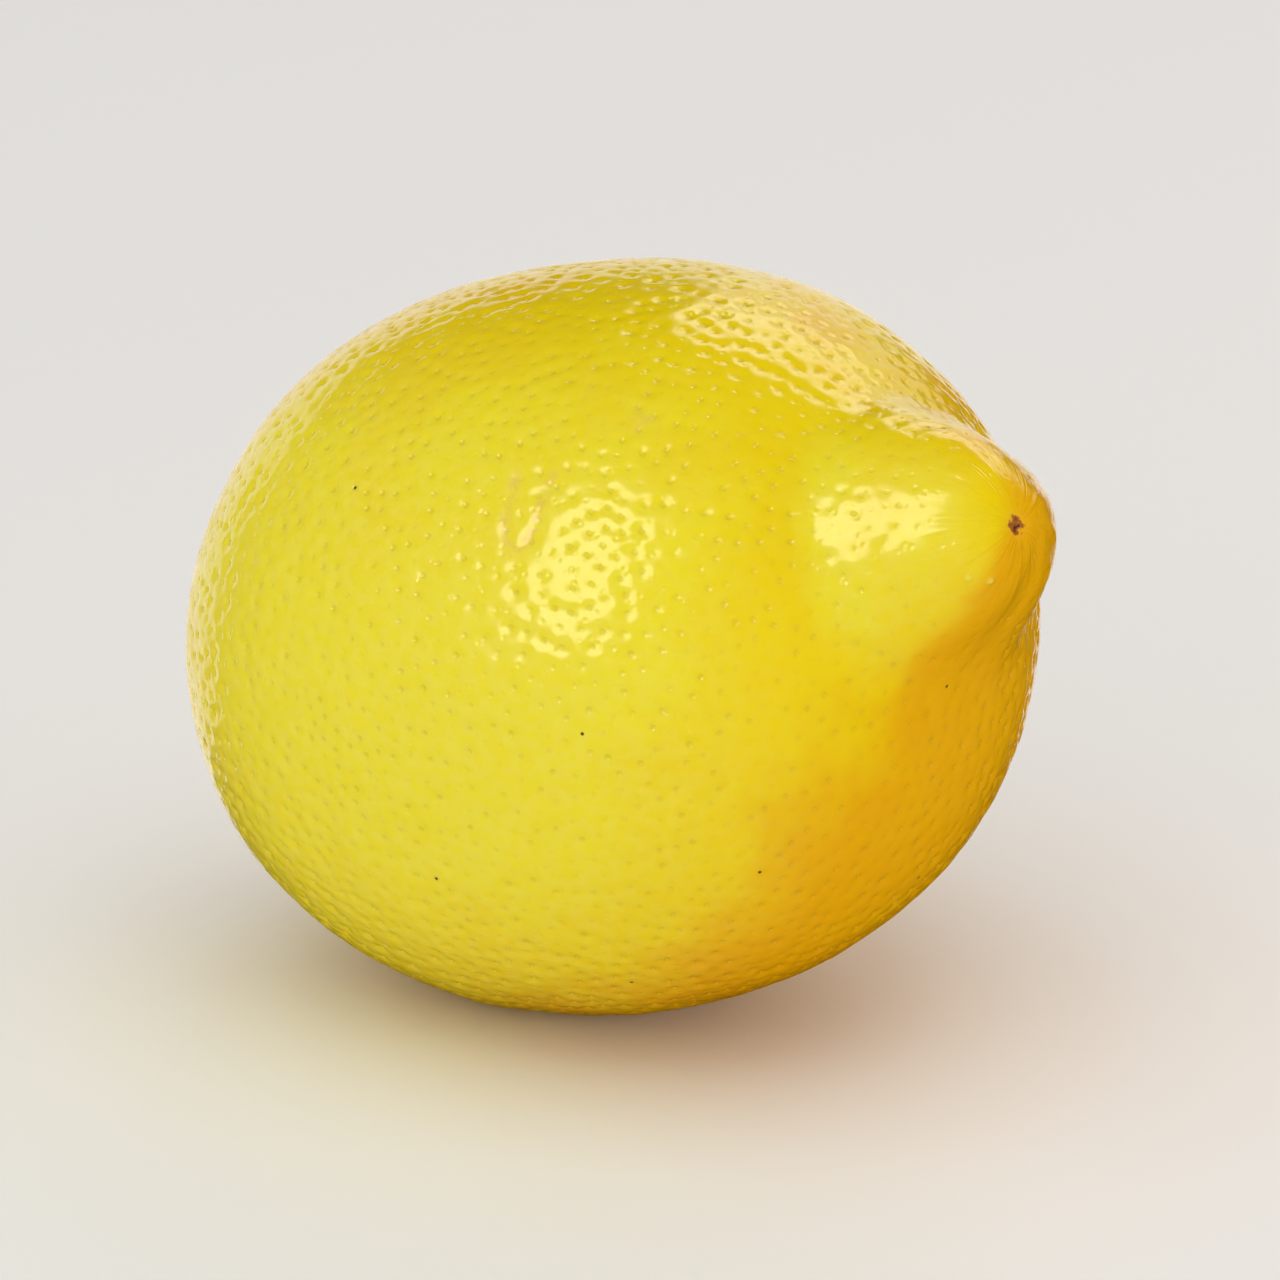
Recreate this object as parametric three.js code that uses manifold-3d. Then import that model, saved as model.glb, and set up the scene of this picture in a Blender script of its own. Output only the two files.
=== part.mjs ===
// A whole lemon, lying at rest on the small flat spot that its own weight has eased into the rind.
//
// Two pieces: the fruit, which grew as one solid, and the dried calyx with its cut stem stub, which
// sits in the dimple at the stem end and can be picked off.
//
// Units are millimetres and degrees, +Z is up and the nipple points towards +X, tipped up off the floor.
// The origin is on the floor, under the middle of the whole lemon.
//
// The fruit is first drawn about its own long axis, X, with the stem end at -X and the nipple at +X. It
// is then made as uneven as a grown fruit is, tipped into its resting attitude and cut flat underneath.

import * as THREE from 'three';
import { mergeVertices } from 'three/addons/utils/BufferGeometryUtils.js';
import Module from 'manifold-3d';

// Body
const bodyLength = 73.5;
const bodyDiameter = 62;

// Nipple at the blossom end
const nippleReach = 7.2; // how far the tip stands past the end of the body
const nippleRootDiameter = 25; // where the nipple flows out of the body
const nippleShoulderDiameter = 17.6; // where its flank turns over into the blunt end
const nippleShoulderDepth = 6.4; // from the tip back to that shoulder
const nippleFlankSlope = 34; // degrees that the flank falls in towards the long axis at the shoulder
const nippleLean = 0.5; // how far the tip leans off the long axis
const fullSideLift = 22; // degrees that its full side faces up from -Y
const fullSideGrowth = 3.3; // how much further that side stands out from the long axis
const fullSideReach = 2.6; // and how much further towards the tip
const fullSideRoot = 12.4; // from the tip back to the crease where the full side starts
const poleSpread = 4; // around the very tip, the growth moves all sides together

// Dimple at the stem end
const dimpleDiameter = 13;
const dimpleDepth = 1.9;

// Calyx and stem stub
const calyxDiameter = 8.6;
const calyxHeight = 1.9; // dome above its own seat
const calyxRim = 0.6; // thickness at the tips of the sepals
const sepalCount = 5;
const sepalDepth = 0.4; // how far the sepal tips stand out past the notches between them
const stubDiameter = 2.2;
const stubHeight = 1.1; // stub above the dome
const seatClearance = 0.35; // between the rind and the underside of the calyx

// Unevenness of a grown fruit
const bellyOval = 0.2; // extra half-width across, and as much less half-height
const swellHeight = 0.4; // broad low swellings over the rind
const shoulderFullness = 0.5; // extra half-width halfway out to each end
const lopside = 0.8; // the belly hangs lower towards the nipple and stands higher towards the stem
const axisBow = 0.4; // sideways bow of the long axis
const bellySag = 3; // height over which the underside is eased towards the floor

// Rest
const restTilt = 24; // long axis up from the floor, nipple end high
const spotReach = 5.6; // how far the flat spot reaches past the body's middle, towards the nipple

// Fineness
const rindDetail = 15; // subdivisions of each face of the starting icosahedron
const endCloseness = 0.35; // how much closer the rings of points stand at the two ends
const profileSteps = 720;
const calyxSides = 45;
const calyxRings = 6;

const halfLength = bodyLength / 2;
const bodyRadius = bodyDiameter / 2;
const tip = halfLength + nippleReach;


// ---------- half outline of the fruit, from the floor of the dimple to the tip of the nipple ----------

// A stop on the outline: its place, and the direction in which the outline runs through it.
function stop(along, radius, headingAlong, headingOut) {
  return {
    place: new THREE.Vector2(along, radius),
    heading: new THREE.Vector2(headingAlong, headingOut).normalize(),
  };
}

// The stop on the body's ellipse at a distance from the axis, at the nipple's end (1) or the stem's (-1).
function bodyStop(radius, end) {
  const turn = Math.asin(radius / bodyRadius);
  const along = end * halfLength * Math.cos(turn);
  return { ...stop(along, radius, halfLength * Math.sin(turn), -end * bodyRadius * Math.cos(turn)), turn };
}

// A smooth bend between two stops; the eases are how far it keeps each stop's direction.
function bend(outline, from, to, easeOut, easeIn) {
  const leaving = from.place.clone().addScaledVector(from.heading, easeOut);
  const arriving = to.place.clone().addScaledVector(to.heading, -easeIn);
  outline.bezierCurveTo(leaving.x, leaving.y, arriving.x, arriving.y, to.place.x, to.place.y);
}

function fruitOutline() {
  const flank = THREE.MathUtils.degToRad(nippleFlankSlope);
  const dimpleFloor = stop(dimpleDepth - halfLength, 0, 0, 1);
  const dimpleEdge = bodyStop(dimpleDiameter / 2, -1);
  const nippleRoot = bodyStop(nippleRootDiameter / 2, 1);
  const shoulder = stop(
    tip - nippleShoulderDepth, nippleShoulderDiameter / 2,
    Math.cos(flank), -Math.sin(flank),
  );
  const nippleTip = stop(tip, 0, 0, -1);
  const dimpleEase = dimpleDiameter * 0.22;
  const creaseEase = nippleRoot.place.distanceTo(shoulder.place) * 0.36;

  const outline = new THREE.Path();
  outline.moveTo(dimpleFloor.place.x, dimpleFloor.place.y);
  bend(outline, dimpleFloor, dimpleEdge, dimpleEase, dimpleEase);
  outline.absellipse(0, 0, halfLength, bodyRadius, Math.PI - dimpleEdge.turn, nippleRoot.turn, true);
  bend(outline, nippleRoot, shoulder, creaseEase, creaseEase);
  bend(outline, shoulder, nippleTip, nippleShoulderDepth * 0.56, nippleShoulderDiameter * 0.25);
  return outline;
}

const outlinePoints = fruitOutline().getSpacedPoints(profileSteps);

// The outline point at a share of its length, 0 at the stem end and 1 at the tip.
function outlineAt(share) {
  const step = Math.min(share * profileSteps, profileSteps - 1e-9);
  const index = Math.floor(step);
  return outlinePoints[index].clone().lerp(outlinePoints[index + 1], step - index);
}

// Where the rind of the stem end lies along the axis, at a distance from the axis.
function stemEndAt(radius) {
  const next = outlinePoints.findIndex((point) => point.y > radius);
  const inner = outlinePoints[next - 1];
  const outer = outlinePoints[next];
  return THREE.MathUtils.mapLinear(radius, inner.y, outer.y, inner.x, outer.x);
}


// ---------- uneven growth, tilt and flat spot, shared by both pieces ----------

// Fills the nipple out and forward on one side.
function fillNipple(point) {
  const lift = THREE.MathUtils.degToRad(fullSideLift);
  const radius = Math.max(Math.hypot(point.y, point.z), 1e-6);
  const [outY, outZ] = [point.y / radius, point.z / radius];
  const side = THREE.MathUtils.smoothstep(outZ * Math.sin(lift) - outY * Math.cos(lift), -0.15, 1);
  const onPole = Math.exp(-((radius / poleSpread) ** 2));
  const onSide = side * (1 - onPole);
  const behind = tip - point.x;
  const growthFade = THREE.MathUtils.smoothstep(behind, fullSideRoot * 0.66, fullSideRoot);
  const reachFade = THREE.MathUtils.smoothstep(behind, fullSideRoot * 0.16, fullSideRoot * 0.8);
  const growth = fullSideGrowth * (1 - growthFade);
  const reach = fullSideReach * (1 - reachFade);
  point.x += reach * (onSide + onPole);
  point.y += growth * (onSide * outY - onPole * Math.cos(lift));
  point.z += growth * (onSide * outZ + onPole * Math.sin(lift));
  return point;
}

function growUneven(point) {
  const along = point.x / halfLength;
  const across = point.y / bodyRadius;
  const up = point.z / bodyRadius;

  // oval belly
  point.y += across * bellyOval;
  point.z -= up * bellyOval;

  // full shoulders and broad swellings, which push the rind out and in from the long axis
  const ends = Math.min(along * along, 1);
  const swell = Math.sin(2.2 * along + 1.7 * across + 0.5) * Math.cos(2.4 * up - 0.9 * along)
    + 0.6 * Math.sin(3.4 * across - 1.6 * up + 1.1);
  const stretch = 1 + (swell * swellHeight + 4 * ends * (1 - ends) * shoulderFullness) / bodyRadius;
  point.y *= stretch;
  point.z *= stretch;

  // lopsided belly, bowed axis, and the nipple leaning off it
  const rise = THREE.MathUtils.smoothstep(point.x, halfLength * 0.75, tip);
  point.z -= lopside * Math.sin(Math.PI * THREE.MathUtils.clamp(along, -1, 1));
  point.y += axisBow * (1 - along * along) + nippleLean * rise;
  return point;
}

const tilt = THREE.MathUtils.degToRad(restTilt);
const restTurn = new THREE.Matrix4().makeRotationY(-tilt);
const bodyDepth = Math.hypot(halfLength * Math.sin(tilt), bodyRadius * Math.cos(tilt));

// Eases the underside, so that it meets the floor broadly.
function easeUnderside(height) {
  const over = -height - (bodyDepth - bellySag);
  return over > 0 ? height + over - bellySag * Math.tanh(over / bellySag) : height;
}

function layDown(point) {
  point.applyMatrix4(restTurn);
  point.z = easeUnderside(point.z);
  return point;
}

// Height of the tipped body's underside, below its middle, at a distance from the middle along X.
function undersideAt(distance) {
  const [sin, cos] = [Math.sin(tilt), Math.cos(tilt)];
  const upright = (sin / halfLength) ** 2 + (cos / bodyRadius) ** 2;
  const skew = distance * sin * cos * (halfLength ** -2 - bodyRadius ** -2);
  const level = distance ** 2 * ((cos / halfLength) ** 2 + (sin / bodyRadius) ** 2) - 1;
  return -(skew + Math.sqrt(skew ** 2 - upright * level)) / upright;
}

// The flat spot is deep enough to reach past the weight of the fruit, so that it stays as it lies.
const flatDepth = easeUnderside(undersideAt(spotReach)) - easeUnderside(-bodyDepth);

function shapeAll(geometry, ...steps) {
  const position = geometry.getAttribute('position');
  const point = new THREE.Vector3();
  for (let i = 0; i < position.count; i += 1) {
    point.fromBufferAttribute(position, i);
    for (const step of steps) {
      step(point);
    }
    position.setXYZ(i, point.x, point.y, point.z);
  }
  return geometry;
}

// One closed mesh with shared vertices and no triangle that has closed up to a line.
function weld(geometry, reach = 1e-4) {
  geometry.deleteAttribute('normal');
  geometry.deleteAttribute('uv');
  const welded = mergeVertices(geometry, reach);
  const index = welded.getIndex().array;
  const kept = [];
  for (let i = 0; i < index.length; i += 3) {
    const [a, b, c] = [index[i], index[i + 1], index[i + 2]];
    if (a !== b && b !== c && c !== a) {
      kept.push(a, b, c);
    }
  }
  welded.setIndex(kept);
  return welded;
}


// ---------- pieces ----------

// Wraps the evenly divided ball onto the outline: the angle from the nipple becomes a length of outline.
function wrapOnOutline(point) {
  const angle = Math.acos(THREE.MathUtils.clamp(point.x, -1, 1));
  const share = 1 - (angle - (endCloseness * Math.sin(2 * angle)) / 2) / Math.PI;
  const around = Math.atan2(point.z, point.y);
  const { x, y: radius } = outlineAt(share);
  return point.set(x, radius * Math.cos(around), radius * Math.sin(around));
}

function rindGeometry() {
  const ball = weld(new THREE.IcosahedronGeometry(1, rindDetail));
  return shapeAll(ball, wrapOnOutline, fillNipple, growUneven, layDown);
}

// Turned as if it sat on a flat seat: Y is the height off the seat.
function calyxTurning() {
  const rim = calyxDiameter / 2;
  const stub = stubDiameter / 2;
  const dome = new THREE.QuadraticBezierCurve(
    new THREE.Vector2(rim, calyxRim),
    new THREE.Vector2(rim * 0.62, calyxHeight),
    new THREE.Vector2(stub, calyxHeight),
  );
  const under = new THREE.LineCurve(new THREE.Vector2(0, 0), new THREE.Vector2(rim, 0));
  const stubTop = calyxHeight + stubHeight;
  const profile = [
    ...under.getPoints(calyxRings),
    ...dome.getPoints(calyxRings),
    new THREE.Vector2(stub, stubTop),
    new THREE.Vector2(0, stubTop),
  ];
  return new THREE.LatheGeometry(profile, calyxSides);
}

// Draws the rim out into sepals and wraps the turned piece onto the rind of the stem end.
function seatInDimple(point) {
  const radius = Math.hypot(point.x, point.z);
  const around = Math.atan2(point.z, point.x);
  const outwards = (radius / (calyxDiameter / 2)) ** 3;
  const reach = radius + (outwards * sepalDepth * Math.cos(sepalCount * around)) / 2;
  const along = stemEndAt(reach) - seatClearance - point.y;
  return point.set(along, reach * Math.cos(around), reach * Math.sin(around));
}

function calyxGeometry() {
  return weld(shapeAll(calyxTurning(), seatInDimple, growUneven, layDown), 1e-3);
}


// ---------- flat spot ----------

const wasm = await Module();
wasm.setup();

function toSolid(geometry) {
  return new wasm.Manifold(new wasm.Mesh({
    numProp: 3,
    vertProperties: new Float32Array(geometry.getAttribute('position').array),
    triVerts: new Uint32Array(geometry.getIndex().array),
  }));
}

function fromSolid(solid) {
  const { vertProperties, triVerts } = solid.getMesh();
  const geometry = new THREE.BufferGeometry();
  geometry.setAttribute('position', new THREE.BufferAttribute(vertProperties, 3));
  geometry.setIndex(new THREE.BufferAttribute(triVerts, 1));
  return geometry;
}

// Takes off everything below the floor.
function cutFlat(geometry) {
  const wide = 2 * (tip + bodyDiameter);
  const below = new THREE.BoxGeometry(wide, wide, wide).translate(0, 0, -wide / 2);
  return fromSolid(toSolid(geometry).subtract(toSolid(weld(below))));
}


// ---------- assembly ----------

const rind = rindGeometry();
const calyx = calyxGeometry();
rind.computeBoundingBox();
calyx.computeBoundingBox();

// The floor is flatDepth above the lowest rind, and the origin is under the middle of both pieces.
const whole = rind.boundingBox.clone().union(calyx.boundingBox);
const middle = whole.getCenter(new THREE.Vector3());
const floor = rind.boundingBox.min.z + flatDepth;
for (const geometry of [rind, calyx]) {
  geometry.translate(-middle.x, -middle.y, -floor);
}

const lemon = new THREE.Group();
lemon.name = 'lemon';

const fruit = new THREE.Mesh(
  cutFlat(rind),
  new THREE.MeshStandardMaterial({ color: 0xe6cb12, roughness: 0.4, metalness: 0 }),
);
fruit.name = 'fruit';
lemon.add(fruit);

const stemButton = new THREE.Mesh(
  calyx,
  new THREE.MeshStandardMaterial({ color: 0x93982a, roughness: 0.7, metalness: 0 }),
);
stemButton.name = 'stem_button';
lemon.add(stemButton);

export default lemon;
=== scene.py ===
import math
import random

import bmesh
import bpy
import numpy as np
from mathutils import Matrix, Vector, noise
from mathutils.bvhtree import BVHTree
from mathutils.kdtree import KDTree


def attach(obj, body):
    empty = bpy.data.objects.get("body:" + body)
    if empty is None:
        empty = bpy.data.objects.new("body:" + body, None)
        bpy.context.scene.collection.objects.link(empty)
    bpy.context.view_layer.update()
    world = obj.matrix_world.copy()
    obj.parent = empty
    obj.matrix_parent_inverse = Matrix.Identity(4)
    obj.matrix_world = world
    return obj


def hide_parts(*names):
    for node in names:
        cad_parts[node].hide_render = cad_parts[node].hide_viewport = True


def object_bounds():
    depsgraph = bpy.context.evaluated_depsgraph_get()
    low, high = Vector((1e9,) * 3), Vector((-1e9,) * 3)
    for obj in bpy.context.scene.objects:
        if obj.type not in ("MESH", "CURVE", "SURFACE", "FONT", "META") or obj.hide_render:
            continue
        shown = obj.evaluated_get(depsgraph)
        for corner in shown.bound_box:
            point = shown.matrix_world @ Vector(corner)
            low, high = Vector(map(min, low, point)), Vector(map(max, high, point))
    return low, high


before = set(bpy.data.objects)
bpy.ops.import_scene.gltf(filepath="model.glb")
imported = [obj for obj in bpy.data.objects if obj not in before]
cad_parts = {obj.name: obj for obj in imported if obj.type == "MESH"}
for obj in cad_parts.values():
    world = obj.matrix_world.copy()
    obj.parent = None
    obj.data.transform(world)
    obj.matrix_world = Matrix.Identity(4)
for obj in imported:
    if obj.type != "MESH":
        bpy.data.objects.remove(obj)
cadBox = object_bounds()
mm = 0.001
scene = bpy.context.scene


# camera and studio: everything is aimed from these, in metres and degrees
viewpoint = {
    "azimuth": 33.4,
    "elevation": 20.0,
    "distance": 0.9,
    "widthInView": 0.104,
    "aimShift": (-0.0007, 0.0, -0.0005),
}
studio = {
    "floorColour": (0.93, 0.92, 0.90),
    "floorRadius": 4.0,
    "floorDrop": 0.1 * mm,
    "skyColour": (1.0, 0.985, 0.965),
    "skyStrength": 0.56,
    "boxColour": (1.0, 0.925, 0.87),  # of the softboxes
    "softboxes": {  # what the gloss shows
        "keySoftbox": {"towards": (-0.04, -0.81, 0.585), "away": 0.95, "size": (0.43, 0.68), "watts": 7.6},
        "backSoftbox": {"towards": (-0.03, 0.70, 0.71), "away": 1.0, "size": (0.85, 0.42), "watts": 4.8},
        "topCard": {"towards": (-0.10, 0.93, 0.36), "away": 1.5, "size": (1.3, 0.5), "watts": 2.7},
        "rimCard": {"towards": (-0.74, 0.67, -0.10), "away": 2.2, "size": (2.7, 1.65), "watts": 15.7},
    },
    "fillLamps": {  # what the shade gets
        "frontFill": {"towards": (-0.05, -0.80, 0.60), "away": 1.2, "size": (0.9, 0.9), "watts": 0.7},
        "lowFill": {"towards": (0.1, -0.98, 0.02), "away": 1.0, "size": (1.2, 0.4), "watts": 4.0},
        "rightFill": {"towards": (0.96, 0.28, 0.0), "away": 1.2, "size": (0.9, 0.6), "watts": 6.2},
        "topFill": {"towards": (0.1, -0.2, 0.97), "away": 1.6, "size": (1.6, 1.6), "watts": 7.0},
    },
}

middle = (cadBox[0] + cadBox[1]) / 2


def setUpCamera():
    turn, lift = math.radians(viewpoint["azimuth"]), math.radians(viewpoint["elevation"])
    back = Vector((math.sin(turn) * math.cos(lift), -math.cos(turn) * math.cos(lift), math.sin(lift)))
    camera = bpy.data.objects.new("camera", bpy.data.cameras.new("camera"))
    scene.collection.objects.link(camera)
    camera.data.sensor_width = 36.0
    camera.data.lens = camera.data.sensor_width * viewpoint["distance"] / viewpoint["widthInView"]
    camera.location = middle + Vector(viewpoint["aimShift"]) + back * viewpoint["distance"]
    camera.rotation_mode = "QUATERNION"
    camera.rotation_quaternion = (-back).to_track_quat("-Z", "Y")
    camera.data.clip_start, camera.data.clip_end = 0.05, 20.0
    scene.camera = camera


def hangLamp(name, box):
    lamp = bpy.data.lights.new(name, "AREA")
    lamp.shape = "RECTANGLE"
    lamp.size, lamp.size_y = box["size"]
    lamp.energy = box["watts"]
    holder = bpy.data.objects.new(name, lamp)
    away = Vector(box["towards"]).normalized()
    holder.location = middle + away * box["away"]
    holder.rotation_mode = "QUATERNION"
    holder.rotation_quaternion = away.to_track_quat("Z", "Y")
    scene.collection.objects.link(holder)
    return holder


def setUpStudio():
    world = bpy.data.worlds.new("studioWhite")
    world.use_nodes = True
    sky = world.node_tree.nodes["Background"]
    sky.inputs["Color"].default_value = (*studio["skyColour"], 1.0)
    sky.inputs["Strength"].default_value = studio["skyStrength"]
    scene.world = world

    world.cycles_visibility.glossy = False
    for name, box in studio["softboxes"].items():
        holder = hangLamp(name, box)
        holder.visible_diffuse = False
        holder.data.color = studio["boxColour"]
    for name, box in studio["fillLamps"].items():
        hangLamp(name, box).visible_glossy = False

    shape = bmesh.new()
    bmesh.ops.create_circle(shape, cap_ends=True, segments=96, radius=studio["floorRadius"])
    floorMesh = bpy.data.meshes.new("studioFloor")
    shape.to_mesh(floorMesh)
    shape.free()
    floor = bpy.data.objects.new("studioFloor", floorMesh)
    floor.location.z = -studio["floorDrop"]
    scene.collection.objects.link(floor)
    paper = bpy.data.materials.new("palePaper")
    paper.use_nodes = True
    skin = paper.node_tree.nodes["Principled BSDF"]
    skin.inputs["Base Color"].default_value = (*studio["floorColour"], 1.0)
    skin.inputs["Roughness"].default_value = 0.7
    floorMesh.materials.append(paper)
    floor.visible_glossy = False

    scene.view_settings.view_transform = "Standard"
    scene.view_settings.look = "None"


setUpCamera()
setUpStudio()
print("camera and studio are set")


# reading, writing and shaping meshes
def readPlaces(mesh):
    places = np.empty(len(mesh.vertices) * 3, dtype=np.float32)
    mesh.vertices.foreach_get("co", places)
    return places.reshape(-1, 3).astype(float)


def readNormals(mesh):
    normals = np.empty(len(mesh.vertices) * 3, dtype=np.float32)
    mesh.vertex_normals.foreach_get("vector", normals)
    return normals.reshape(-1, 3).astype(float)


def writePlaces(mesh, places):
    mesh.vertices.foreach_set("co", places.astype(np.float32).ravel())
    mesh.update()


def solidOf(mesh):
    corners = [v.co.copy() for v in mesh.vertices]
    return BVHTree.FromPolygons(corners, [tuple(p.vertices) for p in mesh.polygons])


def keepOn(mesh, name, values):
    values = np.asarray(values, dtype=np.float32)
    kind, field = ("FLOAT_VECTOR", "vector") if values.ndim == 2 else ("FLOAT", "value")
    mesh.attributes.new(name, kind, "POINT").data.foreach_set(field, values.ravel())


def smoothRise(value, low, high):
    share = np.clip((value - low) / (high - low), 0.0, 1.0)
    return share * share * (3.0 - 2.0 * share)


def noiseAt(places, grain, offset=0.0):
    shift = Vector((offset, -offset, 2.0 * offset))
    return np.array([noise.noise(Vector(p) / grain + shift) for p in places])


def spanFrom(places, point):
    return np.linalg.norm(places - np.asarray(point), axis=1)


def unit(vector):
    return np.asarray(vector, dtype=float) / np.linalg.norm(vector)


# where the lemon lies, all from the frame: its stem end, its tip and the long axis between them
stemEnd = readPlaces(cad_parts["stem_button"].data).mean(axis=0)
fruitPlaces = readPlaces(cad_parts["fruit"].data)
tip = fruitPlaces[np.argmax(spanFrom(fruitPlaces, stemEnd))]
axis = unit(tip - stemEnd)
core = (tip + stemEnd) / 2
sideways = unit(np.cross((0.0, 0.0, 1.0), axis))
upwards = np.cross(axis, sideways)
ownTurn = Matrix((axis, sideways, upwards)).transposed()  # lemon's own X, Y, Z into the frame


# rind: an even ball of squares wrapped onto the fruit, then worked over
rind = {
    "squaresAcross": 128,  # per side of the cube that the ball starts as
    "mapMargin": 0.01,
    "coreSlide": 6.0 * mm,  # the rays' start slides along the axis, so that the ends get their squares
    "easing": 22,  # smoothing passes that take out the solid's facets
    "swells": ((0.13 * mm, 9.0 * mm), (0.055 * mm, 3.4 * mm)),  # height and grain
    "tipPleats": {
        "height": 0.15 * mm, "around": 7.0, "along": 9.0 * mm,
        "fadesIn": (1.8 * mm, 3.8 * mm), "fadesOut": (4.8 * mm, 12.0 * mm),  # distances from the end
    },
    "stemFolds": {
        "height": 0.34 * mm, "around": 1.5, "along": 16.0 * mm,
        "fadesIn": (3.8 * mm, 5.8 * mm), "fadesOut": (6.8 * mm, 17.0 * mm),
    },
}
marks = {
    "styleScar": {"offMiddle": (0.910, -0.092, 0.404), "radius": 0.85 * mm, "depth": 0.34 * mm},
    "pimples": ((0.919, -0.201, 0.339), (0.933, -0.162, 0.323)),  # directions from the lemon's middle
    "pimpleRadius": 0.85 * mm,
    "pimpleHeight": 0.10 * mm,
    "twigScratch": (  # a healed hairpin scratch, as directions from the lemon's middle
        (0.054, -0.738, 0.673), (0.072, -0.826, 0.559), (0.105, -0.857, 0.505),
        (0.145, -0.850, 0.506), (0.166, -0.815, 0.555), (0.160, -0.712, 0.684),
    ),
    "scratchWidth": 0.36 * mm,
    "scratchDepth": 0.09 * mm,
    "fleck": (0.322, -0.506, 0.800),
    "fleckRadius": 0.9 * mm,
}


def evenBall():
    shape = bmesh.new()
    bmesh.ops.create_cube(shape, size=2.0)
    cuts = rind["squaresAcross"] - 1
    bmesh.ops.subdivide_edges(shape, edges=shape.edges[:], cuts=cuts, use_grid_fill=True)
    layer = shape.loops.layers.uv.new("OFBake")
    margin = rind["mapMargin"]
    for face in shape.faces:
        centre = face.calc_center_median()
        main = max(range(3), key=lambda k: abs(centre[k]))
        across, up = [k for k in range(3) if k != main]
        column, row = main, int(centre[main] > 0)
        for loop in face.loops:
            u = (loop.vert.co[across] + 1) / 2 * (1 - 2 * margin) + margin
            v = (loop.vert.co[up] + 1) / 2 * (1 - 2 * margin) + margin
            loop[layer].uv = ((column + u) / 3, (row + v) / 2)
    for vert in shape.verts:
        vert.co = Vector([math.tan(c * math.pi / 4) for c in vert.co]).normalized()
    bmesh.ops.recalc_face_normals(shape, faces=shape.faces[:])
    return shape


def wrapOnFruit(shape):
    solid = solidOf(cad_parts["fruit"].data)
    for vert in shape.verts:
        start = Vector(core + axis * rind["coreSlide"] * vert.co.x)
        vert.co = solid.ray_cast(start, ownTurn @ vert.co)[0]


def makeRind():
    shape = evenBall()
    wrapOnFruit(shape)
    mesh = bpy.data.meshes.new("rind")
    shape.to_mesh(mesh)
    shape.free()
    mesh.shade_smooth()
    piece = bpy.data.objects.new("rind", mesh)
    scene.collection.objects.link(piece)

    ease = piece.modifiers.new("easeFacets", "SMOOTH")
    ease.factor = 0.5
    ease.iterations = rind["easing"]
    eased = readPlaces(piece.evaluated_get(bpy.context.evaluated_depsgraph_get()).data)
    piece.modifiers.remove(ease)
    eased[:, 2] = np.maximum(eased[:, 2], 0.0)
    writePlaces(mesh, eased)
    return piece


rindPiece = makeRind()
smoothPlaces = readPlaces(rindPiece.data)
smoothNormals = readNormals(rindPiece.data)
smoothSolid = solidOf(rindPiece.data)
fromTip = spanFrom(smoothPlaces, tip)
fromStem = spanFrom(smoothPlaces, stemEnd)
print("rind wrapped:", len(rindPiece.data.polygons), "squares")


def spotOnRind(towards):
    return np.array(smoothSolid.ray_cast(Vector(core), Vector(towards))[0])


def ringPlaces(turn, reach, along):  # places on a tube, where noise closes on itself round the turn
    return np.stack([np.cos(turn) * reach, np.sin(turn) * reach, along], axis=1)


def turnAbout(centre):  # turn of each place about the long axis, moved to run through the centre
    off = smoothPlaces - centre
    return np.arctan2(off @ upwards, off @ sideways)


def pleats(form, span):  # ridges that run in towards one end of the lemon
    ring = ringPlaces(turnAbout(core), form["around"], span / form["along"])
    near = smoothRise(span, *form["fadesIn"]) * (1 - smoothRise(span, *form["fadesOut"]))
    return form["height"] * near * noiseAt(ring, 1.0, 5.7)


def spanFromLine(places, points):
    closest = np.full(len(places), np.inf)
    for a, b in zip(points, points[1:]):
        along = np.clip((places - a) @ (b - a) / ((b - a) @ (b - a)), 0.0, 1.0)
        closest = np.minimum(closest, np.linalg.norm(places - (a + along[:, None] * (b - a)), axis=1))
    return closest


fromScar = spanFrom(smoothPlaces, spotOnRind(marks["styleScar"]["offMiddle"]))
scratchSpan = spanFromLine(smoothPlaces, [spotOnRind(d) for d in marks["twigScratch"]])
scratch = np.exp(-((scratchSpan / marks["scratchWidth"]) ** 2))
fleck = np.exp(-((spanFrom(smoothPlaces, spotOnRind(marks["fleck"])) / marks["fleckRadius"]) ** 2))
scar = 1 - smoothRise(fromScar, 0.0, 1.6 * marks["styleScar"]["radius"])


# oil glands: the pits that cover the rind, each a shallow dimple with a small deep pore in it
glands = {
    "seed": 7,
    "closest": 1.42 * mm,  # least distance between two pits
    "closestVaries": 0.16,
    "patches": 9.0 * mm,  # size of the areas where they stand closer or wider
    "dimpleRadius": 0.56 * mm,
    "dimpleDepth": 0.145 * mm,
    "depthVaries": 0.7,
    "smoothAtTip": (3.0 * mm, 19.0 * mm),  # pits fade in over this distance from the tip
    "soonerSide": (0.0, 0.6, 0.8),  # on top and behind, pits start nearer to the tip
    "sooner": 1.0,
    "leftAtTip": 0.12,
    "dirty": 0.006,  # share of the pores that hold a dark speck
}


def scatterPits():
    draw = random.Random(glands["seed"])
    order = list(range(len(smoothPlaces)))
    draw.shuffle(order)
    patches = noiseAt(smoothPlaces, glands["patches"], 3.1)
    cell = glands["closest"] * (1 + glands["closestVaries"])
    taken = {}
    pits = []
    for index in order:
        place = smoothPlaces[index]
        gap = glands["closest"] * (1 + glands["closestVaries"] * patches[index])
        home = tuple(np.floor(place / cell).astype(int))
        near = (
            other
            for dx in (-1, 0, 1) for dy in (-1, 0, 1) for dz in (-1, 0, 1)
            for other in taken.get((home[0] + dx, home[1] + dy, home[2] + dz), ())
        )
        if all(sum((a - b) ** 2 for a, b in zip(other, place)) >= gap * gap for other in near):
            taken.setdefault(home, []).append(tuple(place))
            strength = 1 + glands["depthVaries"] * draw.uniform(-1, 1)
            pits.append((Vector(place), strength, float(draw.random() < glands["dirty"])))
    return pits


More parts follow.
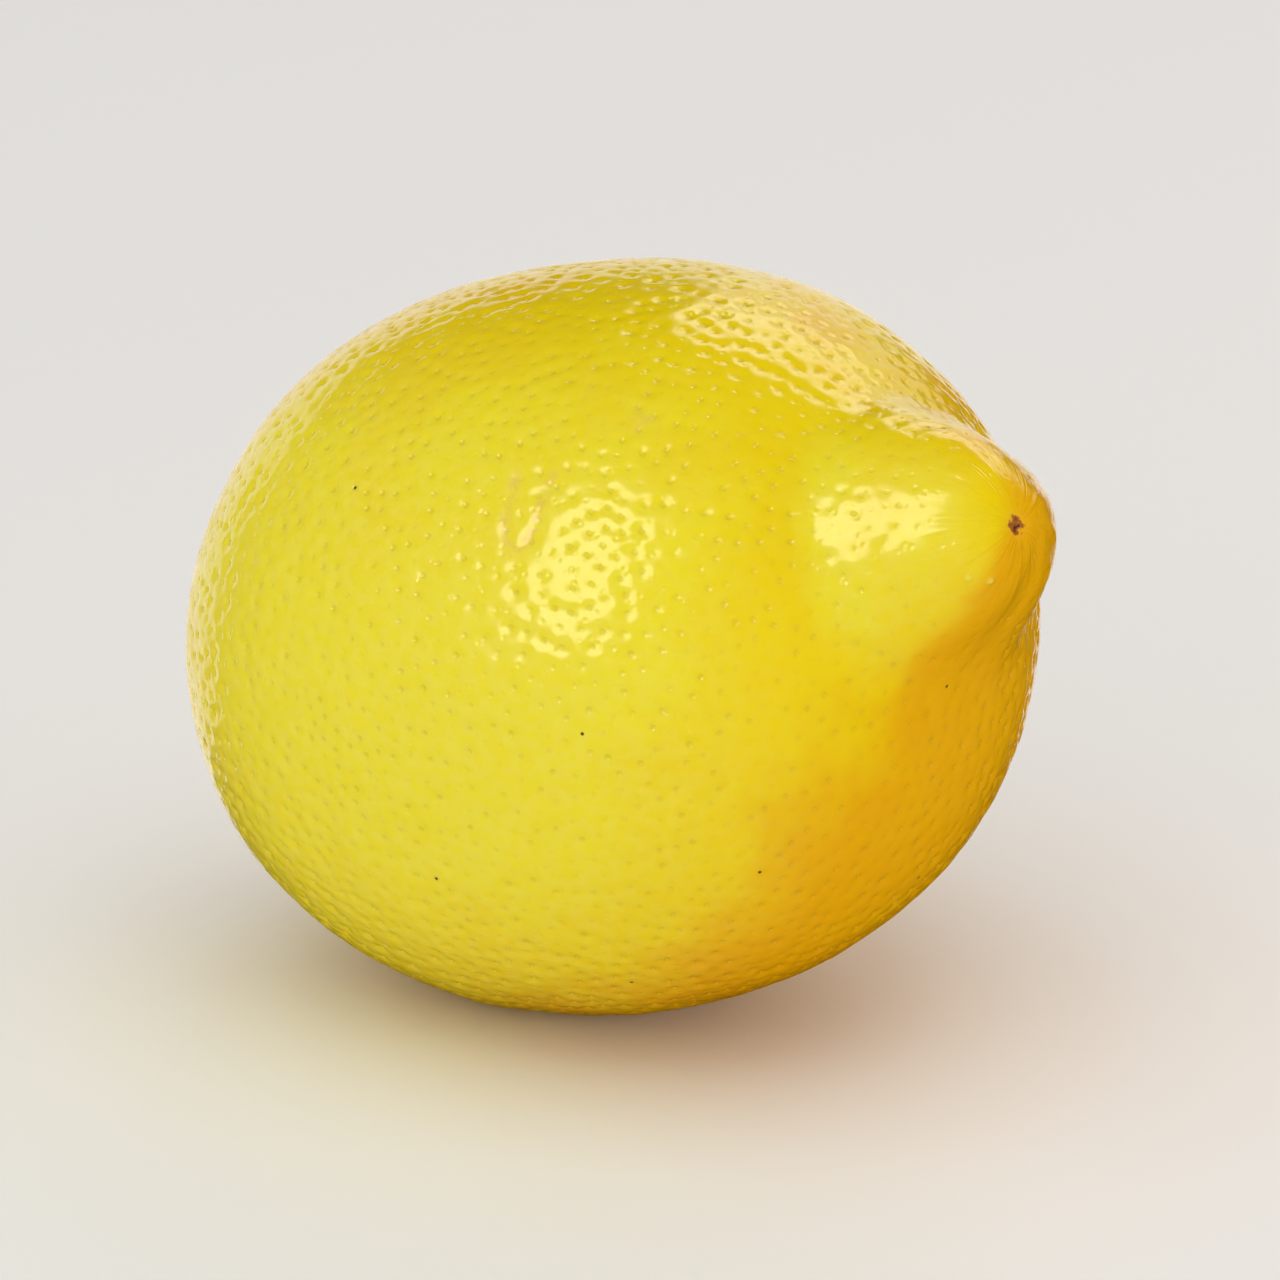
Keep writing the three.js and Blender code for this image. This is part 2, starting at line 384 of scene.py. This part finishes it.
def sinkPits(pits):
    tree = KDTree(len(pits))
    for index, pit in enumerate(pits):
        tree.insert(pit[0], index)
    tree.balance()
    strengths = np.array([pit[1] for pit in pits])
    found = [tree.find_n(Vector(p), 5) for p in smoothPlaces]
    spans = np.array([[near[2] for near in five] for five in found])
    which = np.array([[near[1] for near in five] for five in found])
    onTop = smoothRise(smoothNormals @ unit(glands["soonerSide"]), 0.2, 0.9)
    faded = smoothRise(fromTip * (1 + glands["sooner"] * onTop), *glands["smoothAtTip"])
    fadeIn = glands["leftAtTip"] + (1 - glands["leftAtTip"]) * faded
    sunk = (strengths[which] * np.exp(-((spans / glands["dimpleRadius"]) ** 2))).sum(axis=1)
    mesh = rindPiece.data
    keepOn(mesh, "toPit", np.array([five[0][0] for five in found]) - smoothPlaces)
    keepOn(mesh, "pitSpan", spans[:, 0])
    keepOn(mesh, "pitStrength", strengths[which[:, 0]] * fadeIn)
    keepOn(mesh, "pitDirt", np.array([pit[2] for pit in pits])[which[:, 0]])
    return -glands["dimpleDepth"] * fadeIn * sunk


pits = scatterPits()
relief = sinkPits(pits)
print("oil glands:", len(pits))

for height, grain in rind["swells"]:
    relief += height * noiseAt(smoothPlaces, grain, height / mm)
relief += pleats(rind["tipPleats"], fromTip) + pleats(rind["stemFolds"], fromStem)
relief -= marks["styleScar"]["depth"] * np.exp(-((fromScar / marks["styleScar"]["radius"]) ** 2))
relief -= marks["scratchDepth"] * scratch
pimples = np.zeros(len(smoothPlaces))
for towards in marks["pimples"]:
    span = spanFrom(smoothPlaces, spotOnRind(towards))
    pimples += 1 - smoothRise(span, 0.0, marks["pimpleRadius"])
relief += marks["pimpleHeight"] * pimples
worked = smoothPlaces + smoothNormals * relief[:, None]
worked[:, 2] = np.maximum(worked[:, 2], 0.0)
writePlaces(rindPiece.data, worked)


# fine streaks that run in to the scar, kept for the finish
streaks = {
    "around": 7.5,
    "along": 9.0 * mm,
    "fadesIn": (0.7 * mm, 1.8 * mm),
    "fadesOut": (4.5 * mm, 9.0 * mm),
}


def keepStreaks():
    turn = turnAbout(spotOnRind(marks["styleScar"]["offMiddle"]))
    keepOn(rindPiece.data, "streakRing", ringPlaces(turn, streaks["around"], fromScar / streaks["along"]))
    near = smoothRise(fromScar, *streaks["fadesIn"]) * (1 - smoothRise(fromScar, *streaks["fadesOut"]))
    keepOn(rindPiece.data, "streaky", near)


keepStreaks()


# how the colour lies on the fruit: greener on the lit side and gold on the low far side, partly from
# ripening and partly painted shade and bounce light; the near side gets a painted pale reflection
ripeningAndShade = {
    "turning": 0.85,  # how fast green gives way to yellow
    "plainYellow": 0.62,  # ripeness of the plain sides
    "gold": 0.38,  # how much riper and darker the golden side is: part ripening, part painted shade and bounce light
    # the side facing the key light stays greenest and the low far side turns gold: part ripening, part
    # painted shade and warm bounce light
    "litGreenSide": (0.0, -0.97, 0.22),
    "shadedGoldSide": (0.76, 0.25, -0.52),
    # the near side, which gets a painted reflection of the white floor and softboxes
    "paleSheenSide": (-0.30, -0.95, -0.05),
    "atTip": 0.12,  # how much riper the nipple is
    "tipReach": (6.0 * mm, 22.0 * mm),
    "patches": 0.16,
    "patchGrain": 14.0 * mm,
    "stainRadius": (3.6 * mm, 8.5 * mm),  # around the stem
    "stainUneven": 0.25,
    "stainGrain": 3.0 * mm,
}


def colourAreas():
    outwards = smoothNormals
    awayFromGreen = 1 - outwards @ unit(ripeningAndShade["litGreenSide"])
    ripeAndShaded = np.minimum(ripeningAndShade["turning"] * awayFromGreen ** 0.9, ripeningAndShade["plainYellow"])
    # the golden low far side: riper, and painted shade and bounce light
    ripeAndShaded += ripeningAndShade["gold"] * smoothRise(outwards @ unit(ripeningAndShade["shadedGoldSide"]), -0.1, 0.95)
    ripeAndShaded += ripeningAndShade["patches"] * noiseAt(smoothPlaces, ripeningAndShade["patchGrain"], 2.2)
    ripeAndShaded += ripeningAndShade["atTip"] * (1 - smoothRise(fromTip, *ripeningAndShade["tipReach"]))
    # painted reflection: paler towards the camera and the floor
    paleSheen = smoothRise(outwards @ unit(ripeningAndShade["paleSheenSide"]), 0.1, 1.0)
    blotches = ripeningAndShade["stainUneven"] * noiseAt(smoothPlaces, ripeningAndShade["stainGrain"], 8.0)
    stain = 1 - smoothRise(fromStem * (1 + blotches), *ripeningAndShade["stainRadius"])
    mesh = rindPiece.data
    keepOn(mesh, "ripeAndShaded", np.clip(ripeAndShaded, 0, 1))
    keepOn(mesh, "paleSheen", paleSheen)
    keepOn(mesh, "stain", stain)
    keepOn(mesh, "scar", scar)
    keepOn(mesh, "scratch", scratch)
    keepOn(mesh, "fleck", fleck)
    keepOn(mesh, "pimples", pimples)


colourAreas()


# short forms for shader nodes
def startSkin(name):
    material = bpy.data.materials.new(name)
    material.use_nodes = True
    return material, material.node_tree, material.node_tree.nodes["Principled BSDF"]


def put(tree, kind, values, **settings):
    node = tree.nodes.new("ShaderNode" + kind)
    for key, value in settings.items():
        setattr(node, key, value)
    for socket, value in values.items():
        if isinstance(value, bpy.types.NodeSocket):
            tree.links.new(value, node.inputs[socket])
        else:
            node.inputs[socket].default_value = value
    return node


def calc(tree, how, *values):
    return put(tree, "Math", dict(enumerate(values)), operation=how).outputs[0]


def fade(tree, value, low, high, first=0.0, last=1.0):
    values = {0: value, 1: low, 2: high, 3: first, 4: last}
    return put(tree, "MapRange", values, interpolation_type="SMOOTHSTEP").outputs[0]


def between(tree, value, low, full, past, high):
    return calc(tree, "MULTIPLY", fade(tree, value, low, full), fade(tree, value, past, high, 1.0, 0.0))


def tinted(tree, share, under, over):
    under, over = [(*c, 1.0) if isinstance(c, tuple) else c for c in (under, over)]
    return put(tree, "Mix", {0: share, 6: under, 7: over}, data_type="RGBA").outputs[2]


def speckle(tree, grain, detail=2.0):
    place = put(tree, "TexCoord", {}).outputs["Object"]
    return put(tree, "TexNoise", {"Vector": place, "Scale": 1 / grain, "Detail": detail}).outputs[0]


def kept(tree, name, output="Fac"):
    return put(tree, "Attribute", {}, attribute_name=name).outputs[output]


# rind's finish
rindFinish = {
    "greenish": (0.83, 0.705, 0.005),
    "yellow": (0.83, 0.615, 0.001),
    # the gold below also stands for painted shade and bounce light on the low far side
    "gold": (0.80, 0.40, 0.001),
    # pale, bluish cream: painted reflection on the near side and painted glints on the pimples, over the
    # rind's own pale mottling
    "bloomAndSheen": (0.86, 0.75, 0.12),
    "poreTint": (0.60, 0.44, 0.002),
    "scarBrown": (0.36, 0.105, 0.012),
    "scarHeart": (0.085, 0.022, 0.006),
    "stainOlive": (0.42, 0.30, 0.010),
    "healed": (0.78, 0.48, 0.16),
    "dirt": (0.09, 0.04, 0.01),
    "poreShare": 0.14,  # how much of each tint is mixed in
    "stainShare": 0.6,
    "fleckShare": 0.6,
    # how much painted glint the pimples' tops get
    "pimpleGlintShare": 0.5,
    "clouds": 5.0 * mm,  # grain of each pattern
    "mottles": 1.1 * mm,
    "scabs": 0.5 * mm,
    "scarJags": 0.45 * mm,
    "waxPatches": 2.4 * mm,
    "roughness": (0.15, 0.21),
    "poreRoughness": 0.12,
    "scarRoughness": 0.35,
    "waxIor": 1.35,
    "glow": 0.14,  # light that comes back out of the peel
    "glowColour": (1.0, 0.5, 0.1),
    "glowReach": 1.4 * mm,
    "trustedSpan": (0.27 * mm, 0.36 * mm),
    "dirtReach": (0.08 * mm, 0.2 * mm),
    "poreReach": (0.0 * mm, 0.36 * mm),
    "poreDepth": 0.05 * mm,
    "smallPores": {"apart": 1.0 * mm, "width": 0.34, "depth": 0.03 * mm},  # width is a share of apart
    "pebble": (0.004 * mm, 0.7 * mm),  # height and grain
    "fineGrain": (0.0009 * mm, 0.2 * mm),
    "streakHeight": 0.22 * mm,
    "pimpleTop": 0.10 * mm,
}


def makeRindFinish():
    material, tree, look = startSkin("lemonRind")
    form = rindFinish

    # exact distance to the nearest pore, trusted only well inside its own cell
    toPit = kept(tree, "toPit", "Vector")
    toPore = put(tree, "VectorMath", {0: toPit}, operation="LENGTH").outputs["Value"]
    trusted = fade(tree, kept(tree, "pitSpan"), *form["trustedSpan"], 1.0, 0.0)
    pore = calc(tree, "MULTIPLY", fade(tree, toPore, *form["poreReach"], 1.0, 0.0), trusted)
    pore = calc(tree, "MULTIPLY", pore, kept(tree, "pitStrength"))
    dirt = calc(tree, "MULTIPLY", fade(tree, toPore, *form["dirtReach"], 1.0, 0.0), trusted)
    dirt = calc(tree, "MULTIPLY", dirt, kept(tree, "pitDirt"))

    clouds = fade(tree, speckle(tree, form["clouds"]), 0.3, 0.7, -0.07, 0.07)
    ripeAndShaded = calc(tree, "ADD", kept(tree, "ripeAndShaded"), clouds)
    # green to yellow to gold: besides the ripening, the gold and part of the yellow carry painted shade
    # and bounce light on the sides away from the key light
    colour = tinted(tree, fade(tree, ripeAndShaded, 0.05, 0.5), form["greenish"], form["yellow"])
    colour = tinted(tree, fade(tree, ripeAndShaded, 0.5, 1.0), colour, form["gold"])
    mottle = fade(tree, speckle(tree, form["mottles"]), 0.35, 0.65, 0.25, 0.5)
    # paler, bluer veil on the near side: painted reflection of the white floor and softboxes, broken up by
    # the rind's own mottling
    colour = tinted(tree, calc(tree, "MULTIPLY", mottle, kept(tree, "paleSheen")), colour, form["bloomAndSheen"])
    colour = tinted(tree, calc(tree, "MULTIPLY", pore, form["poreShare"]), colour, form["poreTint"])
    stained = calc(tree, "MULTIPLY", kept(tree, "stain"), form["stainShare"])
    colour = tinted(tree, stained, colour, form["stainOlive"])
    flecked = calc(tree, "MULTIPLY", kept(tree, "fleck"), form["fleckShare"])
    healed = calc(tree, "MAXIMUM", kept(tree, "scratch"), flecked)
    scabby = fade(tree, speckle(tree, form["scabs"]), 0.4, 0.6, 0.1, 0.6)
    healed = calc(tree, "MULTIPLY", healed, scabby)
    colour = tinted(tree, healed, colour, form["healed"])
    # pale tops on the two pimples: painted glints
    pimpleGlint = calc(tree, "MULTIPLY", fade(tree, kept(tree, "pimples"), 0.45, 0.8), form["pimpleGlintShare"])
    colour = tinted(tree, pimpleGlint, colour, form["bloomAndSheen"])
    jags = fade(tree, speckle(tree, form["scarJags"]), 0.3, 0.7, -0.25, 0.25)
    ragged = calc(tree, "ADD", kept(tree, "scar"), jags)
    colour = tinted(tree, fade(tree, ragged, 0.35, 0.62), colour, form["scarBrown"])
    colour = tinted(tree, fade(tree, ragged, 0.72, 0.95), colour, form["scarHeart"])
    colour = tinted(tree, dirt, colour, form["dirt"])
    tree.links.new(colour, look.inputs["Base Color"])

    rough = fade(tree, speckle(tree, form["waxPatches"]), 0.3, 0.7, *form["roughness"])
    rough = calc(tree, "ADD", rough, calc(tree, "MULTIPLY", pore, form["poreRoughness"]))
    rough = calc(tree, "ADD", rough, calc(tree, "MULTIPLY", kept(tree, "scar"), form["scarRoughness"]))
    tree.links.new(rough, look.inputs["Roughness"])

    height = calc(tree, "MULTIPLY", pore, -form["poreDepth"])
    place = put(tree, "TexCoord", {}).outputs["Object"]
    small = form["smallPores"]
    cells = put(tree, "TexVoronoi", {"Vector": place, "Scale": 1 / small["apart"]}).outputs["Distance"]
    height = calc(tree, "ADD", height, fade(tree, cells, 0.0, small["width"], -small["depth"], 0.0))
    for tall, grain in (form["pebble"], form["fineGrain"]):
        height = calc(tree, "ADD", height, calc(tree, "MULTIPLY", speckle(tree, grain), 2 * tall))
    ring = kept(tree, "streakRing", "Vector")
    ridges = put(tree, "TexNoise", {"Vector": ring, "Scale": 1.0, "Detail": 2.0}).outputs[0]
    streak = calc(tree, "MULTIPLY", ridges, kept(tree, "streaky"))
    height = calc(tree, "ADD", height, calc(tree, "MULTIPLY", streak, form["streakHeight"]))
    pimple = fade(tree, kept(tree, "pimples"), 0.3, 0.9)
    height = calc(tree, "ADD", height, calc(tree, "MULTIPLY", pimple, form["pimpleTop"]))
    bump = put(tree, "Bump", {"Strength": 1.0, "Distance": 1.0, "Height": height})
    tree.links.new(bump.outputs[0], look.inputs["Normal"])

    look.inputs["IOR"].default_value = form["waxIor"]
    look.inputs["Subsurface Weight"].default_value = form["glow"]
    look.inputs["Subsurface Radius"].default_value = form["glowColour"]
    look.inputs["Subsurface Scale"].default_value = form["glowReach"]
    return material


rindPiece.data.materials.append(makeRindFinish())
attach(rindPiece, "root")
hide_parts("fruit")
print("rind finished")


# stem button: five dried sepals grown into a cup, with the cut stalk standing in the middle
stemButton = {
    "sides": 180,
    "hubRings": (0.1, 2.425, 32),  # first radius, last radius in mm, how many
    "cupRings": 26,
    "reach": 4.28 * mm,
    "sepals": 5,
    "corners": 0.5,  # 0 for a round outline, 1 for straight sides between the sepal tips
    "notch": 0.38 * mm,  # in the outline, where two sepals meet
    "notchWidth": math.radians(6),
    "ragged": 0.16 * mm,
    "clear": 0.12 * mm,  # between the cup and the rind
    "hub": (  # radius and height in mm, from the cut stalk's middle over the ring around it
        (0.0, 2.80), (0.5, 2.74), (0.86, 2.80), (1.0, 2.70), (1.07, 2.2), (1.16, 1.62), (1.3, 1.45),
        (1.46, 1.5), (1.62, 1.88), (1.78, 2.06), (1.95, 2.02), (2.15, 1.80), (2.3, 1.76), (2.45, 1.80),
    ),
    # share of the way from the ring out to the edge, and height in mm
    "cup": ((0.0, 1.80), (0.25, 1.70), (0.5, 1.48), (0.75, 1.12), (0.92, 0.74), (1.0, 0.46)),
    "rimOut": 0.03 * mm,
    "rimHeight": 0.24 * mm,
    "underside": (1.0, 0.99, 0.96, 0.85, 0.65, 0.4, 0.2),
    "insideRadius": 3.0 * mm,  # what the underside counts as, so that it takes the sepals' colour
    "seam": 0.16 * mm,  # groove between two sepals
    "seamWidth": math.radians(7),
    "rib": 0.07 * mm,  # along the middle of each sepal
    "ribWidth": math.radians(5),
    "edgeFrom": 0.86,  # share of the way out at which the dark edge starts
    "curl": 0.55 * mm,  # how far the dry edge lifts
    "dryBlotches": 0.7,
    "drySide": math.radians(-40),  # turn at which the sepals have dried most
    "wrinkles": ((0.10 * mm, 1.3 * mm), (0.05 * mm, 0.5 * mm)),  # height and grain
    "hubWrinkled": 0.25,  # share of the wrinkles that the stalk and its ring get
    "stalkUneven": 0.16,  # how far the stalk is from round
}

ownButton = readPlaces(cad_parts["stem_button"].data)
stalkWay = np.linalg.svd(ownButton - stemEnd, full_matrices=False)[2][2]
stalkWay *= -np.sign(stalkWay @ axis)
besideStalk = unit(sideways - stalkWay * (sideways @ stalkWay))
aboveStalk = np.cross(besideStalk, stalkWay)


def fromSepalTip(turn):  # angle to the nearest sepal tip, and to the nearest seam between two sepals
    sector = 2 * math.pi / stemButton["sepals"]
    off = np.abs((turn + sector / 2) % sector - sector / 2)
    return off, sector / 2 - off


def buttonOutline(turn):
    form = stemButton
    off, toSeam = fromSepalTip(turn)
    half = math.pi / form["sepals"]
    straight = math.cos(half) / np.cos(half - off)
    reach = form["reach"] * (1 + form["corners"] * (straight - 0.9))
    reach += form["ragged"] * noiseAt(ringPlaces(turn, 2.4, 0 * turn), 1.0, 1.3)
    return reach - form["notch"] * np.exp(-((toSeam / form["notchWidth"]) ** 2))


def dryness(turn, share):
    side = smoothRise(np.cos(turn - stemButton["drySide"]), -0.3, 0.9)
    blotches = stemButton["dryBlotches"] * noiseAt(ringPlaces(turn, 3, share * 2), 1.0, 4.4)
    blotches *= smoothRise(share, 0.0, 0.5)
    return np.clip(side * smoothRise(share, 0.1, 0.8) + blotches, 0, 1)


def buttonHeight(turn, radius, share):
    form = stemButton
    off, toSeam = fromSepalTip(turn)
    hub, cup = np.array(form["hub"]) * mm, np.array(form["cup"])
    onHub = np.interp(radius, *hub.T)
    height = np.where(radius < hub[-1, 0], onHub, np.interp(share, cup[:, 0], cup[:, 1] * mm))
    onCup = smoothRise(share, 0.0, 0.35)
    height -= form["seam"] * onCup * np.exp(-((toSeam / form["seamWidth"]) ** 2))
    height += form["rib"] * onCup * np.exp(-((off / form["ribWidth"]) ** 2))
    flat = ringPlaces(turn, radius, 0 * turn)
    wrinkled = form["hubWrinkled"] + (1 - form["hubWrinkled"]) * onCup
    for tall, grain in form["wrinkles"]:
        height += tall * wrinkled * noiseAt(flat, grain, 6.1)
    return height


def edgeLift(turn, share):
    return stemButton["curl"] * dryness(turn, np.ones_like(turn)) * smoothRise(share, 0.5, 1.05)


def onButton(turn, radius, height):  # places above the rind, from a turn and a radius about the stalk
    places = []
    for t, r, h in zip(turn, radius, height):
        start = stemEnd + stalkWay * 10 * mm + (besideStalk * math.cos(t) + aboveStalk * math.sin(t)) * r
        foot = smoothSolid.ray_cast(Vector(start), Vector(-stalkWay))[0]
        places.append(np.array(foot) + stalkWay * (h + stemButton["clear"]))
    return places


def stalkRound(turn, radius, hubEdge):  # radius pulled about, so that the stalk is no true circle
    pull = stemButton["stalkUneven"] * (1 - smoothRise(radius, 0.5 * hubEdge, hubEdge))
    return radius * (1 + pull * noiseAt(ringPlaces(turn, 1.2, 0 * turn), 1.0, 9.3))


def makeStemButton():
    form = stemButton
    sides = form["sides"]
    turn = np.arange(sides) * 2 * math.pi / sides
    outline = buttonOutline(turn)
    hubEdge = form["hub"][-1][0] * mm
    rings = []  # radius, share out over the cup, height
    for radius in np.linspace(*form["hubRings"]) * mm:
        rings.append((np.full(sides, radius), np.zeros(sides), None))
    for share in np.linspace(0, 1, form["cupRings"]):
        rings.append((hubEdge + share * (outline - hubEdge), np.full(sides, share), None))
    rings.append((outline + form["rimOut"], np.ones(sides), form["rimHeight"]))
    for share in form["underside"]:
        rings.append((outline * share, np.full(sides, share), 0.0))

    places, fromStalk, dry, edge = [], [], [], []
    for radius, share, height in rings:
        lift = edgeLift(turn, share)
        tall = buttonHeight(turn, radius, share) if height is None else np.full(sides, height)
        places += onButton(turn, stalkRound(turn, radius, hubEdge), tall + lift)
        fromStalk += list(radius if height is None else np.full(sides, form["insideRadius"]))
        dry += list(dryness(turn, share))
        edge += list(smoothRise(share, form["edgeFrom"], 1.0))
    top, bottom = len(places), len(places) + 1
    middle = np.zeros(1)
    places += onButton(middle, middle, np.array([form["hub"][0][1] * mm]))
    places += onButton(middle, middle, middle)
    fromStalk += [0.0, form["insideRadius"]]
    dry += [0.0, 0.0]
    edge += [0.0, 0.0]

    last = (len(rings) - 1) * sides
    faces = []
    for k in range(sides):
        after = (k + 1) % sides
        faces.append((top, after, k))
        faces.append((bottom, last + k, last + after))
        for first in range(0, last, sides):
            faces.append((first + k, first + after, first + sides + after, first + sides + k))
    mesh = bpy.data.meshes.new("stemButton")
    mesh.from_pydata(places, [], faces)
    mesh.shade_smooth()
    keepOn(mesh, "fromStalk", fromStalk)
    keepOn(mesh, "dry", dry)
    keepOn(mesh, "edge", edge)
    piece = bpy.data.objects.new("stemButton", mesh)
    scene.collection.objects.link(piece)
    return piece


buttonFinish = {
    "green": (0.33, 0.38, 0.035),
    "olive": (0.19, 0.185, 0.02),
    "brown": (0.15, 0.062, 0.014),
    "darkEdge": (0.055, 0.022, 0.006),
    "cutWood": (0.66, 0.38, 0.15),
    "woodRing": (0.30, 0.125, 0.035),
    "pith": (0.42, 0.22, 0.08),
    "stalkEdge": (1.03 * mm, 1.11 * mm),  # radii where the stalk's colour gives way to the sepals'
    "bark": (0.86 * mm, 1.0 * mm),
    "ring": (0.32 * mm, 0.5 * mm, 0.52 * mm, 0.74 * mm),  # darkens over two radii, then pales
    "groove": (1.05 * mm, 1.2 * mm, 1.4 * mm, 1.65 * mm),
    "ringShare": 0.7,
    "grooveShare": 0.8,
    "edgeShare": 0.85,
    "ringWander": 0.14 * mm,
    "leafPatches": 0.9 * mm,  # grain of each pattern
    "brownJags": 0.5 * mm,
    "darkPatches": 0.6 * mm,
    "woodGrain": 0.25 * mm,
    "roughPatches": 0.7 * mm,
    "roughness": (0.5, 0.72),
    "dryRoughness": 0.15,
    "fibres": (0.03 * mm, 0.45 * mm),  # height and grain
    "grain": (0.008 * mm, 0.16 * mm),
}


def makeButtonFinish():
    material, tree, look = startSkin("driedCalyx")
    form = buttonFinish
    radius, dry = kept(tree, "fromStalk"), kept(tree, "dry")

    leafy = fade(tree, speckle(tree, form["leafPatches"], 3.0), 0.35, 0.65)
    colour = tinted(tree, leafy, form["olive"], form["green"])
    jags = fade(tree, speckle(tree, form["brownJags"], 4.0), 0.3, 0.7, -0.3, 0.3)
    browned = calc(tree, "ADD", dry, jags)
    colour = tinted(tree, fade(tree, browned, 0.25, 0.6), colour, form["brown"])
    groove = between(tree, radius, *form["groove"])
    edge = calc(tree, "MULTIPLY", kept(tree, "edge"), form["edgeShare"])
    dark = calc(tree, "MAXIMUM", calc(tree, "MULTIPLY", groove, form["grooveShare"]), edge)
    patchy = fade(tree, speckle(tree, form["darkPatches"], 3.0), 0.25, 0.55, 0.4, 1.0)
    dark = calc(tree, "MULTIPLY", dark, patchy)
    colour = tinted(tree, dark, colour, form["darkEdge"])

    pithy = fade(tree, speckle(tree, form["woodGrain"], 4.0), 0.35, 0.7)
    wood = tinted(tree, pithy, form["cutWood"], form["pith"])
    far = form["ringWander"]
    wander = fade(tree, speckle(tree, form["darkPatches"], 3.0), 0.3, 0.7, -far, far)
    uneven = calc(tree, "ADD", radius, wander)
    ring = calc(tree, "MULTIPLY", between(tree, uneven, *form["ring"]), form["ringShare"])
    wood = tinted(tree, ring, wood, form["woodRing"])
    wood = tinted(tree, fade(tree, uneven, *form["bark"]), wood, form["woodRing"])
    colour = tinted(tree, fade(tree, radius, *form["stalkEdge"]), wood, colour)
    tree.links.new(colour, look.inputs["Base Color"])

    rough = fade(tree, speckle(tree, form["roughPatches"]), 0.3, 0.7, *form["roughness"])
    rough = calc(tree, "ADD", rough, calc(tree, "MULTIPLY", dry, form["dryRoughness"]))
    tree.links.new(rough, look.inputs["Roughness"])

    tall, grain = form["grain"]
    height = calc(tree, "MULTIPLY", speckle(tree, grain, 4.0), tall)
    tall, grain = form["fibres"]
    height = calc(tree, "ADD", height, calc(tree, "MULTIPLY", speckle(tree, grain, 3.0), tall))
    bump = put(tree, "Bump", {"Strength": 1.0, "Distance": 1.0, "Height": height})
    tree.links.new(bump.outputs[0], look.inputs["Normal"])
    return material


buttonPiece = makeStemButton()
buttonPiece.data.materials.append(makeButtonFinish())
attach(buttonPiece, "root")
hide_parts("stem_button")
print("stem button finished:", len(buttonPiece.data.polygons), "faces")
